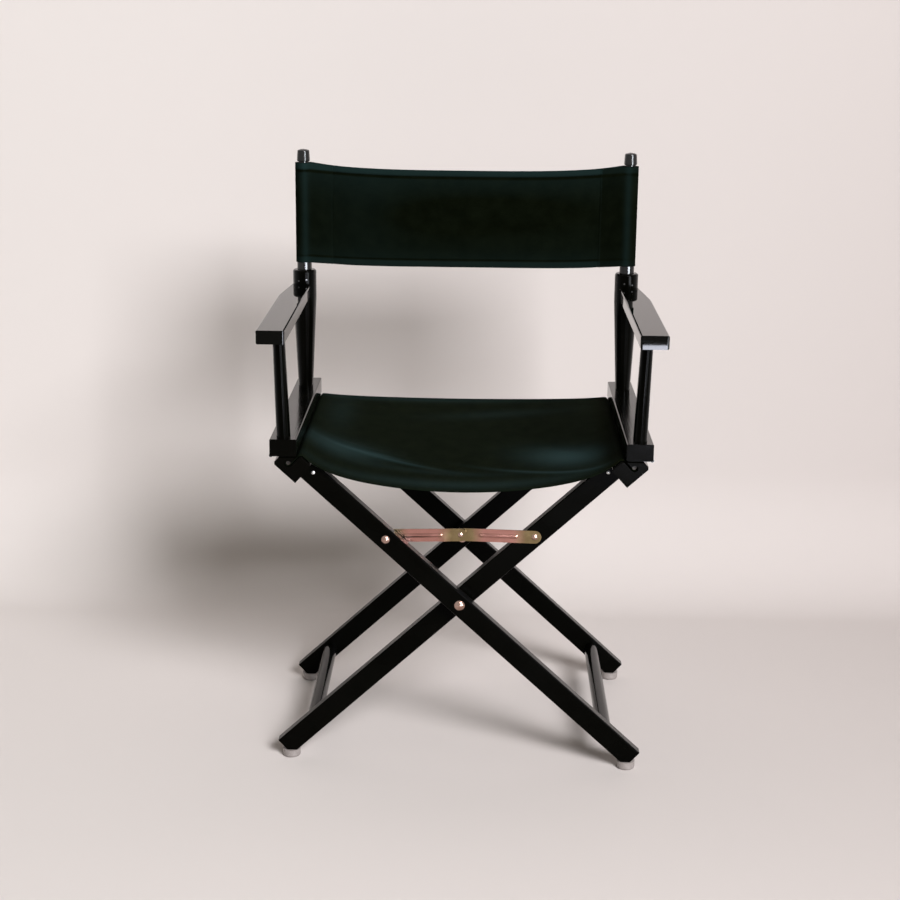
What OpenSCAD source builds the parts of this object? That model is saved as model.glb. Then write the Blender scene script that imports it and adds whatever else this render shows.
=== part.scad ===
// Folding directors chair: two crossing leg frames, a canvas seat hung between
// two seat rails, and two arm assemblies hinged on those rails.
// The chair faces -Y, +X is to the right as seen from the front, +Z is up.
// The origin is on the floor, at the middle of the chair's width and depth.

/* [Leg frames] */
// Width of a leg, seen from the front
leg_w = 30; // [26:0.5:34]
// Thickness of a leg, from front to rear
leg_t = 18; // [16:0.5:20]
// Gap between two crossing legs, which holds the stay
leg_gap = 6; // [5.8:0.1:8]
// Height of the crossing pivots
pivot_h = 252; // [245:1:260]
// Height of the middle of a leg's squared lower end
leg_end_h = 15.8; // [15:0.1:17]
// Height of the flat cut under each foot
foot_cut_h = 12; // [10:0.5:14]
// Radius of the rounded long edges of legs and rails
edge_r = 1.6; // [0.8:0.1:2.5]
// Diameter of a stretcher
stretcher_d = 22; // [18:0.5:25]
// Distance of a stretcher from the leg's squared lower end, along the leg
stretcher_in = 56.9; // [48:0.1:66]
// Depth of a stretcher's hole in a leg
stretcher_hole = 10; // [6:0.5:14]

/* [Feet] */
// Diameter of a glide
glide_d = 26; // [22:0.5:28]
// Distance of a glide inward of the leg's middle line
glide_in = 13; // [12:0.5:14]

/* [Seat rails] */
// Width of a seat rail across the legs
seat_rail_w = 34; // [32:0.5:36]
// Length of a seat rail's section along the legs, before its top is cut flat
seat_rail_d = 42; // [40:0.5:44]
// How far a seat rail's inner face lies above the middle of the leg
seat_rail_rise = 12; // [11:0.5:13]
// Distance of a seat rail's middle inside the base rail's outer face
rail_mid_in = 34.7; // [34:0.1:35.4]
// How far a seat rail's middle lies under its flat top
rail_mid_down = 7.4; // [6.5:0.1:8]
// Radius of a seat rail's lower inner edge
seat_rail_r = 4; // [2:0.5:6]
// Width of the bevel round a seat rail's two ends
rail_bevel = 1.6; // [0.5:0.1:2.5]
// Diameter of the bore for the canvas rod
rod_bore_d = 9; // [8.6:0.1:10]
// Diameter of the canvas rod
rod_d = 6; // [5:0.1:6]
// Width of the slot that the canvas leaves the bore by
rod_slot_w = 3; // [2.4:0.1:4]
// Depth of the rod's bore under the rail's top
rod_depth = 10.3; // [9.5:0.1:11]
// Distance of the rod outward of the seat rail's upper inner edge
rod_out = 19.1; // [18:0.1:20]
// Distance of the slot's mouth outward of that edge
mouth_out = 5; // [4.4:0.1:6]

/* [Arm base rails] */
// Length of an arm base rail
base_len = 395; // [380:1:410]
// Width of an arm base rail
base_w = 37.5; // [36:0.5:40]
// Height of an arm base rail
base_h = 24.5; // [22:0.5:28]
// Distance of its outer face from the middle of the chair
base_out = 268; // [266:0.5:270]
// Height of its underside above the floor
base_z = 475; // [474:0.5:477]
// Distance from the end of the rails to the outer leg's face
leg_inset = 16; // [12:0.5:20]

/* [Armrests] */
// Width of an armrest
arm_w = 39; // [36:0.5:42]
// Thickness of an armrest
arm_t = 19; // [17:0.5:22]
// Height of an armrest's top
arm_top = 664.5; // [655:0.5:672]
// How far its outer edge stands out over the base rail
arm_side = 9.5; // [8:0.5:14]
// How far it runs out in front of the base rail
arm_overhang = 56; // [45:1:65]
// Length of the slanted cut at its outer rear corner
arm_cut_len = 118; // [90:1:140]
// Width of that cut at the rear post
arm_cut_w = 11; // [6:0.5:13]
// Radius of its long edges
arm_edge_r = 2.5; // [1:0.1:4]
// Depth of its end's seat on the round rear post
arm_cope = 7; // [4:0.5:9]

/* [Posts] */
// Diameter of a front post at the base rail
front_post_d = 20; // [18:0.5:22]
// Diameter of a front post at the armrest
front_post_top_d = 17; // [15:0.5:18]
// Distance of a front post's foot from the end of the base rail
front_post_inset = 12; // [11.5:0.5:16]
// Distance of a front post's top inward of the armrest's middle
front_post_in = 3.8; // [2:0.1:6]
// Diameter of a rear post's head
rear_post_d = 36; // [34:0.5:38]
// Diameter of a rear post at the base rail
rear_post_foot_d = 22.5; // [20:0.5:26]
// Distance of a rear post's axis from the rear end of the base rail
rear_post_inset = 62; // [55:1:70]
// Height of a rear post's top
rear_post_top = 686; // [680:0.5:690]
// Depth of the bore for the back stick
stick_bore = 26; // [22:0.5:28]
// Diameter of the turned tenons under and over the posts
tenon_d = 13; // [10:0.5:14]
// Length of those tenons
tenon_len = 12; // [8:0.5:14]

/* [Back sticks] */
// Diameter of a back stick
stick_d = 22.5; // [20:0.5:24]
// Height of the chair, to the top of the knobs
total_h = 870; // [860:1:890]
// Height of a knob
knob_h = 18.5; // [16:0.5:20]
// Diameter of a knob
knob_d = 20; // [17:0.5:21]
// Diameter of the neck under a knob
neck_d = 15.5; // [12:0.5:17]
// Height of the neck
neck_h = 7; // [5:0.5:9]

/* [Canvas] */
// Thickness of the seat canvas
seat_cloth_t = 0.9; // [0.7:0.1:1]
// Length of the seat canvas from front to rear
seat_cloth_len = 385; // [370:1:392]
// Drop of its front edge in the middle
front_sag = 50; // [30:1:55]
// Drop of its rear edge in the middle
rear_sag = 6; // [4:1:30]
// Thickness of the back canvas
back_cloth_t = 1.1; // [0.8:0.1:1.4]
// Gap from the rear posts up to the back canvas
back_cloth_rise = 11.5; // [9:0.5:16]
// Gap from the sleeve's top edge up to the knobs
back_cloth_drop = 2; // [1:0.5:4]
// Width of a sleeve, from its outer edge to its seam
sleeve_w = 57; // [45:1:65]
// Drop of the back canvas's top edge in the middle
back_top_sag = 9.5; // [4:0.5:12]
// Drop of its bottom edge in the middle
back_bottom_sag = 6; // [2:0.5:9]

/* [Hinges] */
// Length of a hinge
hinge_len = 55; // [45:1:65]
// Width of a leaf, from the pin's axis
hinge_leaf_w = 27; // [22:0.5:29]
// Thickness of a leaf
hinge_leaf_t = 1.2; // [0.9:0.1:1.3]
// Diameter of a knuckle
knuckle_d = 5; // [4:0.1:5.2]
// Diameter of a hinge pin
hinge_pin_d = 2.6; // [2:0.1:3]
// Distance of a hinge from the end of the base rail
hinge_inset = 6; // [4:0.5:20]
// Gap between the base rail and the seat rail
hinge_gap = 1; // [0.8:0.1:1.4]
// Distance of the pin's axis inside the base rail's outer face
hinge_axis_in = 1; // [0.8:0.1:1.2]

/* [Screws] */
// Diameter of a hinge screw's shank
screw_d = 3.2; // [2.6:0.1:4]
// Diameter of a hinge screw's countersunk head
screw_head_d = 6.2; // [5:0.1:7]
// Length of a hinge screw
screw_len = 12; // [8:0.5:13]
// Diameter of the domed head of a pin at a leg's upper end
leg_pin_head_d = 5.4; // [4:0.1:6]
// Diameter of the brads that pin a back stick
brad_d = 1.6; // [1.2:0.1:2.2]
// Height of the brads above the armrest
brad_rise = 5; // [3:0.5:10]
// Diameter of the screw that holds an armrest
arm_screw_d = 4; // [3:0.1:5]
// Length of that screw's shank
arm_screw_len = 58; // [45:1:65]

/* [Rivets] */
// Diameter of a pivot rivet's shank
pivot_d = 6; // [5:0.1:8]
// Diameter of a pivot rivet's domed head
pivot_head_d = 15; // [12:0.5:17]
// Height of a pivot rivet's domed head
pivot_head_h = 3.2; // [2:0.1:4]
// Diameter of the ring end of a rivet
ring_d = 15.5; // [12:0.5:17]
// Thickness of the ring end
ring_t = 1.8; // [1:0.1:2.5]
// Diameter of the hollow in the ring end
ring_hollow_d = 7; // [4:0.5:8]
// Diameter of the spacer between two crossing legs
spacer_d = 16; // [12:0.5:18]

/* [Stays] */
// Distance of a stay's end rivet from the crossing pivot, along the leg
stay_u = 144.6; // [135:0.2:150]
// How far the middle of an open stay stands above its ends
stay_rise = 2.5; // [1:0.5:5]
// Width of a stay link
link_w = 19; // [16:0.5:21]
// Thickness of a stay link
link_t = 1.2; // [1:0.1:1.3]
// Height of the pressed rib
rib_h = 0.7; // [0.4:0.1:0.7]
// Width of the pressed rib
rib_w = 5.5; // [4:0.5:8]
// Distance of the rib from the rivets at a link's ends
rib_inset = 26; // [24:0.5:32]
// Diameter of a stay rivet's shank
stay_pin_d = 4.4; // [3.6:0.1:5]
// Diameter of a stay rivet's domed head
stay_head_d = 12; // [9:0.5:14]
// Diameter of the middle rivet's low head
centre_head_d = 7.5; // [6:0.5:9]

/* [Hidden] */
$fn = 64;

wood = "#1c1b1d";
cloth = "#1d2224";
zinc = "#b79a6e";
nickel = "#b9a79b";
steel = "#8e8f92";
nylon = "#e8e4dc";

// Clearance of a turning fit, on the radius
turn_fit = 0.05;
// Clearance of a piece that is glued or pressed in a hole, on the radius
seat_fit = 0.05;
// Clearance between soft cloth and what it touches
cloth_fit = 0.35;
// Running clearance between flat faces that slide past each other
side_fit = 0.3;
// Gap between the two leaves of a closed hinge
leaf_gap = 0.4;
// A length that reaches past any face that a cutter has to pass
past = 1;
// Size of a block that is larger than the chair
huge = 2000;

// Places from front to rear
mid_y = arm_overhang / 2;
depth = base_len + arm_overhang;
rail_front = mid_y - base_len / 2;
rail_rear = mid_y + base_len / 2;
outer_leg_y = base_len / 2 - leg_inset - leg_t / 2;
inner_leg_y = outer_leg_y - leg_t - leg_gap;
rear_post_y = rail_rear - rear_post_inset;
front_post_y = rail_front + front_post_inset;

// Heights
base_top = base_z + base_h;
arm_under = arm_top - arm_t;
seat_rail_top = base_z - hinge_gap;
back_top = total_h - knob_h - back_cloth_drop;
back_bottom = rear_post_top + back_cloth_rise;
back_cloth_h = back_top - back_bottom;

// Places across the chair
base_mid = base_out - base_w / 2;
rear_post_x = base_mid;
arm_out = base_out + arm_side;
front_post_top_x = arm_out - arm_w / 2 - front_post_in;

// The legs, which run from the pivots to the middle of the seat rails
rail_mid_x = base_out - rail_mid_in;
rail_mid_z = seat_rail_top - rail_mid_down - pivot_h;
open_angle = atan(rail_mid_z / rail_mid_x);
leg_upper_len = norm([rail_mid_x, rail_mid_z]) - seat_rail_d / 2;
leg_lower_len = (pivot_h - leg_end_h) / sin(open_angle);
stretcher_u = round(10 * (leg_lower_len - stretcher_in)) / 10;
glide_x = (pivot_h - foot_cut_h) / tan(open_angle) - glide_in;
rail_corner_x = (seat_rail_top - pivot_h - seat_rail_rise / cos(open_angle)) / tan(open_angle);
rod_x = rail_corner_x + rod_out;

// The hinge pins
hinge_x = base_out - hinge_axis_in;
hinge_z = base_z - hinge_gap / 2;
hinge_y = base_len / 2 - hinge_inset - hinge_len / 2;
knuckle_len = (hinge_len - 2 * side_fit) / 3;
leaf_edge_x = hinge_x - knuckle_d / 2 - 0.4;
leaf_screw_x = hinge_x - hinge_leaf_w / 2;
leaf_screw_y = hinge_len / 3;

// The seat rails' outer end and the tenons of the legs
rail_end_x = hinge_x - knuckle_d / 2 - 3;
leg_tenon_len = 9;
leg_tenon_w = 14;
leg_tenon_t = 10;
rod_z = seat_rail_top - rod_depth;
wrap_r = rod_d / 2 + cloth_fit + seat_cloth_t / 2;
mouth_x = rail_corner_x + mouth_out;
mouth_way = [rod_x - mouth_x, rod_depth];
slot_angle = atan(mouth_way[1] / mouth_way[0]) + asin(wrap_r / norm(mouth_way));
rail_len = base_len - 2;
rod_len = seat_cloth_len - 6;

// Places in the gap between two crossing legs, counted inward from the outer leg
link1_y = side_fit + rib_h;
link2_y = leg_gap - 1.1 - link_t;
link_joggle = link2_y - link1_y - link_t - rib_h - 0.2;
joggle_from = 14;
joggle_to = 24;

// The stays
stay_x = stay_u * cos(open_angle);
stay_z = pivot_h + stay_u * sin(open_angle);
stay_mid_z = stay_z + stay_rise;
link_len = sqrt(stay_x * stay_x + stay_rise * stay_rise);
link_slope = asin(stay_rise / link_len);
stay_head_h = 2.6;
end_head_d = 9;
end_head_h = 1.8;
tail_d = 7.5;
tail_t = 1.2;
centre_head_h = 1.3;
centre_tail_h = 0.7;

// Helpers for shapes

// A rectangle about the origin with rounded corners
module rounded_rect(w, h, r) {
  square([w - 2 * r, h], center = true);
  square([w, h - 2 * r], center = true);
  for (sx = [-1, 1])
    for (sy = [-1, 1])
      translate([sx * (w / 2 - r), sy * (h / 2 - r)])
        circle(r);
}

// Stretches an outline drawn in the XZ plane along Y, about Y = 0
module along_y(len) {
  rotate([90, 0, 0])
    linear_extrude(height = len, center = true)
      children();
}

// A cylinder along Y from y0 to y1
module y_cylinder(d, y0, y1) {
  translate([0, y0, 0])
    rotate([-90, 0, 0])
      cylinder(d = d, h = y1 - y0);
}

// A low dome whose flat side lies at Y = 0 and whose crown points to -Y
module y_dome(d, h) {
  ball_r = (d * d / 4 + h * h) / (2 * h);
  rotate([90, 0, 0])
    rotate_extrude()
      intersection() {
        translate([0, h - ball_r])
          circle(ball_r, $fn = 96);
        square([d, h]);
      }
}

// Places its children on one side of the chair: 1 is right, -1 is left
module on_side(side) {
  if (side > 0)
    children();
  else
    mirror([1, 0, 0])
      children();
}

// Places what is drawn for the front at the front (-1) or the rear (1) leg pair
module at_end(end) {
  translate([0, mid_y, 0])
    if (end < 0)
      children();
    else
      mirror([0, 1, 0])
        children();
}

// The plane of a leg that rises to the right: X runs up along the leg from the
// crossing pivot, Z is square to it
module along_leg() {
  translate([0, 0, pivot_h])
    rotate([0, -open_angle, 0])
      children();
}

// Legs

// One leg that rises to the right, about Y = 0, with its tenon
module leg_body() {
  difference() {
    intersection() {
      along_leg()
        union() {
          translate([-leg_lower_len, 0, 0])
            rotate([90, 0, 90])
              linear_extrude(height = leg_lower_len + leg_upper_len)
                rounded_rect(leg_t, leg_w, edge_r);
          translate([leg_upper_len - past, -leg_tenon_t / 2, -leg_tenon_w / 2])
            cube([leg_tenon_len + past, leg_tenon_t, leg_tenon_w]);
        }
      translate([-huge / 2, -huge / 2, foot_cut_h])
        cube([huge, huge, huge]);
    }
    leg_top_corner();
    along_leg()
      translate([leg_upper_len - 10, -leg_t / 2, 2.4])
        y_cylinder(leg_pin_head_d / 2 + 2 * seat_fit, -past, 11 + seat_fit);
  }
}

// The slanted cut at a leg's upper end, which keeps it clear of the canvas
module leg_top_corner() {
  cut_in = 16;
  cut_down = leg_w / 2 - seat_rail_rise + 2.5;
  along_leg()
    rotate([90, 0, 0])
      linear_extrude(height = leg_t + 2 * past, center = true)
        polygon([
          [leg_upper_len - cut_in, leg_w / 2],
          [leg_upper_len - cut_in, leg_w / 2 + past],
          [leg_upper_len + past, leg_w / 2 + past],
          [leg_upper_len + past, leg_w / 2 - cut_down],
          [leg_upper_len, leg_w / 2 - cut_down]
        ]);
}

// The blind hole of a stretcher in a leg's inner face, which looks to +Y
module stretcher_socket() {
  along_leg()
    translate([-stretcher_u, 0, 0])
      y_cylinder(stretcher_d + 2 * seat_fit, leg_t / 2 - stretcher_hole, leg_t / 2 + past);
}

// An outer leg of the front pair, rising to the left
module outer_leg() {
  color(wood)
    translate([0, -outer_leg_y, 0])
      mirror([1, 0, 0])
        difference() {
          leg_body();
          stretcher_socket();
          along_leg()
            y_cylinder(pivot_d + 2 * seat_fit, -leg_t, leg_t);
          along_leg()
            translate([stay_u, 0, 0])
              y_cylinder(stay_pin_d + 2 * seat_fit, -leg_t, leg_t);
        }
}

// An inner leg of the front pair, rising to the right
module inner_leg() {
  color(wood)
    translate([0, -inner_leg_y, 0])
      difference() {
        leg_body();
        stretcher_socket();
        along_leg()
          y_cylinder(pivot_d + 2 * turn_fit, -leg_t, leg_t);
        along_leg()
          translate([stay_u, 0, 0])
            y_cylinder(stay_pin_d + 2 * seat_fit, -leg_t, leg_t);
      }
}

// A pin with a domed head in the outward face of a leg, beside the seat rail
module leg_pin() {
  along_leg()
    translate([leg_upper_len - 10, -leg_t / 2, 2.4])
      union() {
        y_dome(leg_pin_head_d, 1.1);
        y_cylinder(leg_pin_head_d / 2, -0.5, 11);
      }
}

// The pins of one frame, each in the outward face of its leg
module leg_pins(side, leg_y) {
  color(steel)
    for (end = [-1, 1])
      at_end(end)
        translate([0, -leg_y, 0])
          on_side(side)
            leg_pin();
}

// A stretcher between two legs of one frame
module stretcher(side, leg_y) {
  reach = leg_y - leg_t / 2 + stretcher_hole - 0.2;
  color(wood)
    translate([0, mid_y, 0])
      on_side(side)
        along_leg()
          translate([-stretcher_u, 0, 0])
            y_cylinder(stretcher_d, -reach, reach);
}

// The domed glides under one frame's two feet
module glides(side, leg_y) {
  crown = 3.5;
  color(nylon)
    for (end = [-1, 1])
      translate([side * glide_x, mid_y + end * leg_y, 0])
        rotate_extrude()
          union() {
            translate([0, crown])
              square([glide_d / 2, foot_cut_h - crown]);
            square([glide_d / 2 - crown, crown + past]);
            translate([glide_d / 2 - crown, crown])
              intersection() {
                circle(crown);
                translate([0, -crown])
                  square([crown, crown]);
              }
          }
}

// Seat rails

// The outline of the right seat rail, seen from the front
module seat_rail_outline() {
  v0 = seat_rail_rise - seat_rail_w;
  intersection() {
    translate([0, pivot_h])
      rotate(open_angle)
        union() {
          translate([leg_upper_len + seat_rail_r, v0])
            square([seat_rail_d - seat_rail_r, seat_rail_w]);
          translate([leg_upper_len, v0])
            square([seat_rail_r + past, seat_rail_w - seat_rail_r]);
          translate([leg_upper_len + seat_rail_r, seat_rail_rise - seat_rail_r])
            circle(seat_rail_r);
        }
    square([rail_end_x, seat_rail_top]);
  }
}

// The bevels at both ends of the right seat rail, on its top and its inner face
module rail_end_bevels() {
  for (end = [-1, 1])
    translate([0, mid_y + end * rail_len / 2, 0])
      union() {
        translate([rail_end_x, 0, seat_rail_top])
          rotate([45, 0, 0])
            cube([2 * seat_rail_d, rail_bevel * sqrt(2), rail_bevel * sqrt(2)], center = true);
        along_leg()
          translate([leg_upper_len, 0, seat_rail_rise])
            rotate([45, 0, 0])
              cube([2 * seat_rail_d, rail_bevel * sqrt(2), rail_bevel * sqrt(2)], center = true);
      }
}

// The right seat rail with its rod bore and slot, mortises and screw holes
module seat_rail_body() {
  difference() {
    translate([0, mid_y, 0])
      along_y(rail_len)
        difference() {
          seat_rail_outline();
          translate([rod_x, rod_z])
            circle(d = rod_bore_d);
          translate([mouth_x, seat_rail_top])
            rotate(-slot_angle)
              translate([-rod_depth, -rod_slot_w / 2])
                square([rod_depth + norm(mouth_way), rod_slot_w]);
        }
    rail_end_bevels();
    leaf_pockets(-1);
    hinge_places()
      rail_screw_holes(2 * seat_fit);
  }
}

// The mortises for one frame's tenons in the right seat rail
module mortises(leg_y) {
  for (end = [-1, 1])
    translate([0, mid_y + end * leg_y, 0])
      along_leg()
        translate([leg_upper_len - past, -leg_tenon_t / 2 - seat_fit, -leg_tenon_w / 2 - seat_fit])
          cube([leg_tenon_len + past + 0.3, leg_tenon_t + 2 * seat_fit, leg_tenon_w + 2 * seat_fit]);
}

module seat_rail(side, leg_y) {
  color(wood)
    on_side(side)
      difference() {
        seat_rail_body();
        mortises(leg_y);
      }
}

module seat_rod(side) {
  color("#c9a878")
    on_side(side)
      translate([rod_x, mid_y, rod_z])
        y_cylinder(rod_d, -rod_len / 2, rod_len / 2);
}

// Hinges

// Repeats its children at the front and rear hinge of the right side
module hinge_places() {
  for (end = [-1, 1])
    translate([0, mid_y + end * hinge_y, 0])
      children();
}

// The screws of one leaf point up into the base rail (1) or down into the seat
// rail (-1): grow is added to their diameters
module leaf_screws(up, grow) {
  face = leaf_gap / 2;
  for (sy = [-1, 1])
    translate([leaf_screw_x, sy * leaf_screw_y, hinge_z])
      rotate([up > 0 ? 0 : 180, 0, 0])
        translate([0, 0, face])
          rotate_extrude()
            polygon([
              [0, 0],
              [(screw_head_d + grow) / 2, 0],
              [(screw_d + grow) / 2, hinge_leaf_t],
              [(screw_d + grow) / 2, screw_len - 2 + grow],
              [0, screw_len + grow]
            ]);
}

module base_screw_holes(grow) {
  leaf_screws(1, grow);
}

module rail_screw_holes(grow) {
  leaf_screws(-1, grow);
}

// A plate of the hinge from z0 upward, cut back beside the other leaf's knuckles
module leaf_plate(z0, middle) {
  difference() {
    translate([hinge_x - hinge_leaf_w, -hinge_len / 2, z0])
      cube([hinge_leaf_w, hinge_len, hinge_leaf_t]);
    for (sy = middle ? [-1, 1] : [0])
      translate([leaf_edge_x, sy * (knuckle_len + side_fit) - knuckle_len / 2 - side_fit, z0 - past])
        cube([knuckle_d, knuckle_len + 2 * side_fit, hinge_leaf_t + 2 * past]);
  }
}

// The pockets that let the leaves into the base rail (1) or the seat rail (-1)
module leaf_pockets(up) {
  depth = leaf_gap / 2 + hinge_leaf_t + seat_fit;
  hinge_places()
    translate([hinge_x - hinge_leaf_w - 0.2, -hinge_len / 2 - 0.2, hinge_z - (up > 0 ? 0 : depth)])
      cube([2 * hinge_leaf_w, hinge_len + 0.4, depth]);
}

// The hollow in the base rail's lower outer edge for the knuckles
module knuckle_hollows() {
  hinge_places()
    translate([hinge_x, 0, hinge_z])
      y_cylinder(knuckle_d + 0.7, -hinge_len / 2 - 0.2, hinge_len / 2 + 0.2);
}

// One knuckle of the hinge, k counts from the middle one
module knuckle(k) {
  y0 = k * (knuckle_len + side_fit) - knuckle_len / 2;
  translate([hinge_x, 0, hinge_z])
    y_cylinder(knuckle_d, y0, y0 + knuckle_len);
}

module pin_bore() {
  translate([hinge_x, 0, hinge_z])
    y_cylinder(hinge_pin_d + 2 * turn_fit, -hinge_len, hinge_len);
}

module hinge_base_leaves(side) {
  color(steel)
    on_side(side)
      hinge_places()
        difference() {
          union() {
            leaf_plate(hinge_z + leaf_gap / 2, false);
            knuckle(-1);
            knuckle(1);
          }
          pin_bore();
          base_screw_holes(2 * seat_fit);
        }
}

module hinge_rail_leaves(side) {
  color(steel)
    on_side(side)
      hinge_places()
        difference() {
          union() {
            leaf_plate(hinge_z - leaf_gap / 2 - hinge_leaf_t, true);
            knuckle(0);
          }
          pin_bore();
          rail_screw_holes(2 * seat_fit);
        }
}

module hinge_pins(side) {
  color(steel)
    on_side(side)
      hinge_places()
        translate([hinge_x, 0, hinge_z])
          y_cylinder(hinge_pin_d, -hinge_len / 2, hinge_len / 2);
}

module base_screws(side) {
  color(steel)
    on_side(side)
      hinge_places()
        base_screw_holes(0);
}

module rail_screws(side) {
  color(steel)
    on_side(side)
      hinge_places()
        rail_screw_holes(0);
}

// Arm assemblies

// The axis of the right front post, from its foot on the base rail
module on_front_post() {
  translate([base_mid, front_post_y, base_top])
    rotate([0, atan((front_post_top_x - base_mid) / (arm_under - base_top)), 0])
      children();
}

// The tenons of a front post, grown for its holes
module front_post_tenons(grow) {
  height = arm_under - base_top;
  on_front_post()
    translate([0, 0, -tenon_len])
      cylinder(d = tenon_d + grow, h = height + 2 * tenon_len);
}

module front_post(side) {
  height = arm_under - base_top;
  spare = 4;
  color(wood)
    on_side(side)
      union() {
        intersection() {
          on_front_post()
            translate([0, 0, -spare])
              cylinder(d1 = front_post_d, d2 = front_post_top_d, h = height + 2 * spare);
          translate([0, -huge / 2, base_top])
            cube([huge, huge, height]);
        }
        front_post_tenons(0);
      }
}

// Half outline of a rear post, from its foot to its rounded head
module rear_post_outline() {
  head_from = arm_under - 4 - base_top;
  top = rear_post_top - base_top;
  round_r = 3.5;
  polygon([
    [0, 0],
    [rear_post_foot_d / 2, 0],
    [rear_post_d / 2, head_from],
    [rear_post_d / 2, top - round_r],
    [0, top - round_r]
  ]);
  translate([0, top - round_r - past])
    square([rear_post_d / 2 - round_r, round_r + past]);
  translate([rear_post_d / 2 - round_r, top - round_r])
    intersection() {
      circle(round_r);
      square(round_r);
    }
}

// Places its children at the foot of the right rear post
module on_rear_post() {
  translate([rear_post_x, rear_post_y, base_top])
    children();
}

// The screw that runs through the rear post into the armrest's end
module arm_screw_body(grow) {
  head_d = 2 * arm_screw_d;
  head_h = 0.6 * arm_screw_d;
  head_y = rear_post_d / 2 - 4;
  screw_z = (arm_under + rear_post_top - stick_bore) / 2;
  translate([rear_post_x, rear_post_y + head_y, screw_z])
    union() {
      y_cylinder(arm_screw_d + grow, -arm_screw_len - grow, past);
      y_cylinder(head_d + grow, 0, grow > 0 ? rear_post_d : head_h);
    }
}

// The two brads in the front of the right rear post, which pin the back stick
module brads_body(grow) {
  head_d = 1.6 * brad_d;
  len = 9;
  for (step = [0, 1])
    translate([rear_post_x, rear_post_y, arm_top + brad_rise + step * 2])
      rotate([0, 0, step > 0 ? -14 : 25])
        union() {
          y_cylinder(brad_d + grow, -rear_post_d / 2, -rear_post_d / 2 + len + grow);
          y_cylinder(head_d + grow, -rear_post_d / 2 - 0.4 - grow, -rear_post_d / 2 + 0.5);
        }
}

module post_brads(side) {
  color(steel)
    on_side(side)
      brads_body(0);
}

module rear_post(side) {
  bore_from = rear_post_top - stick_bore - base_top;
  color(wood)
    on_side(side)
      difference() {
        on_rear_post()
          union() {
            rotate_extrude()
              rear_post_outline();
            translate([0, 0, -tenon_len])
              cylinder(d = tenon_d, h = tenon_len + past);
          }
        on_rear_post()
          translate([0, 0, bore_from])
            cylinder(d = stick_d + 2 * seat_fit, h = stick_bore + past);
        arm_screw_body(2 * seat_fit);
        brads_body(2 * seat_fit);
      }
}

module base_rail(side) {
  color(wood)
    on_side(side)
      difference() {
        translate([base_mid, mid_y, base_z + base_h / 2])
          along_y(base_len)
            rounded_rect(base_w, base_h, edge_r);
        leaf_pockets(1);
        knuckle_hollows();
        front_post_tenons(2 * seat_fit);
        on_rear_post()
          translate([0, 0, -tenon_len - 0.2])
            cylinder(d = tenon_d + 2 * seat_fit, h = tenon_len + past);
        hinge_places()
          base_screw_holes(2 * seat_fit);
      }
}

// The outline of the right armrest, seen from above
module arm_outline() {
  front = rail_front - arm_overhang;
  rear = rear_post_y - rear_post_d / 2 + arm_cope;
  corner_r = 3;
  inner = arm_out - arm_w;
  difference() {
    polygon([
      [inner, front + corner_r],
      [inner + corner_r, front + corner_r],
      [inner + corner_r, front],
      [arm_out - corner_r, front],
      [arm_out - corner_r, front + corner_r],
      [arm_out, front + corner_r],
      [arm_out, rear - arm_cut_len],
      [arm_out - arm_cut_w, rear],
      [inner, rear]
    ]);
    translate([rear_post_x, rear_post_y])
      circle(d = rear_post_d + 2 * seat_fit);
  }
  for (x = [inner + corner_r, arm_out - corner_r])
    translate([x, front + corner_r])
      circle(corner_r);
}

module arm(side) {
  color(wood)
    on_side(side)
      difference() {
        intersection() {
          translate([arm_out - arm_w / 2, mid_y, arm_top - arm_t / 2])
            along_y(huge)
              rounded_rect(arm_w, arm_t, arm_edge_r);
          translate([0, 0, arm_under - past])
            linear_extrude(height = arm_t + 2 * past)
              arm_outline();
        }
        front_post_tenons(2 * seat_fit);
        arm_screw_body(2 * seat_fit);
      }
}

module arm_screw(side) {
  color(steel)
    on_side(side)
      arm_screw_body(0);
}

// Half outline of a back stick: a plain dowel, a neck and a knob with a low crown
module back_stick_outline() {
  foot = rear_post_top - stick_bore + 0.2;
  neck_from = total_h - knob_h - neck_h;
  knob_from = total_h - knob_h;
  crown_h = 1.2;
  shoulder_r = 2.4;
  top_r = knob_d / 2 - 0.9;
  crown_r = top_r - shoulder_r;
  ball_r = (crown_r * crown_r + crown_h * crown_h) / (2 * crown_h);
  shoulder_from = total_h - crown_h - shoulder_r;
  polygon([
    [0, foot],
    [stick_d / 2 - 1, foot],
    [stick_d / 2, foot + 1],
    [stick_d / 2, neck_from],
    [neck_d / 2, neck_from + 2.5],
    [neck_d / 2, knob_from],
    [knob_d / 2 - 1.2, knob_from],
    [knob_d / 2, knob_from + 1.2],
    [top_r, shoulder_from],
    [0, shoulder_from]
  ]);
  translate([0, shoulder_from - past])
    square([crown_r, shoulder_r + past]);
  translate([crown_r, shoulder_from])
    intersection() {
      circle(shoulder_r);
      square(shoulder_r);
    }
  intersection() {
    translate([0, total_h - ball_r])
      circle(ball_r, $fn = 96);
    translate([0, total_h - crown_h - 0.01])
      square([crown_r, crown_h + past]);
  }
}

module back_stick(side) {
  color(wood)
    on_side(side)
      difference() {
        translate([rear_post_x, rear_post_y, 0])
          rotate_extrude()
            back_stick_outline();
        brads_body(2 * seat_fit);
      }
}

// Canvas

// Points round a sleeve of radius r about a stick at the origin, whose flanks
// meet at -reach
function sleeve_arc(r, reach) =
  let (from = 90 + asin(r / reach), steps = 22)
  [for (i = [0:steps])
    let (a = from - 2 * from * i / steps)
    [r * cos(a), r * sin(a)]];

// Points moved to the right back stick, or turned half round to the left one
function at_stick(points, side) =
  [for (p = points) [side * (rear_post_x + p[0]), side * p[1]]];

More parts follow.
